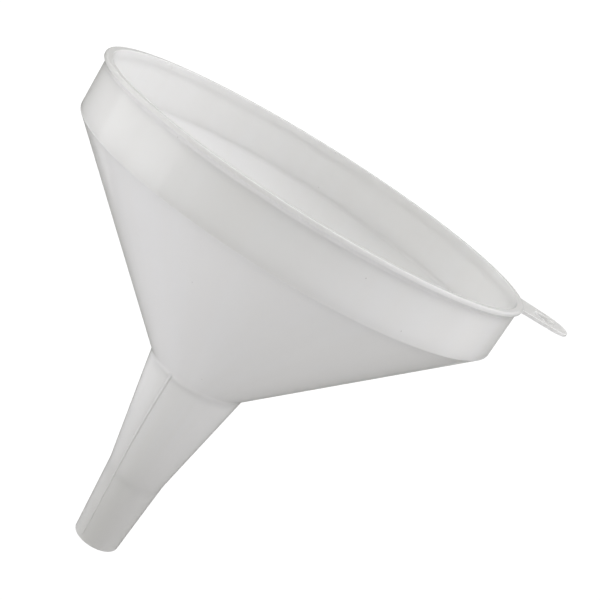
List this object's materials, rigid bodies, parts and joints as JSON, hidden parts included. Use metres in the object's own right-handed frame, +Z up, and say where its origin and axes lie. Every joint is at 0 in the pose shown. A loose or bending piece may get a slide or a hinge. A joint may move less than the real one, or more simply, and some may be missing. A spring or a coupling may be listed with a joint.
{
  "type": "filling funnel",
  "caption": "Wide filling funnel with an upright collar, a rounded lip with a hang tab, a right-angled cone and a long tapering spout with an air vent rib.",
  "frame": {"origin": "centre of the spout's open lower end, on the funnel's axis", "axes": "+Z up the funnel's axis towards the mouth, +X towards the hang tab"},
  "size_m": [0.2783, 0.25, 0.244],
  "materials": {
    "natural_polypropylene": "satin"
  },
  "bodies": {
    "root": {"rim_lip": "natural_polypropylene", "collar_band": "natural_polypropylene", "cone_bowl": "natural_polypropylene", "upper_spout": "natural_polypropylene", "lower_spout": "natural_polypropylene", "vent_rib": "natural_polypropylene", "hang_tab": "natural_polypropylene"}
  },
  "joints": []
}
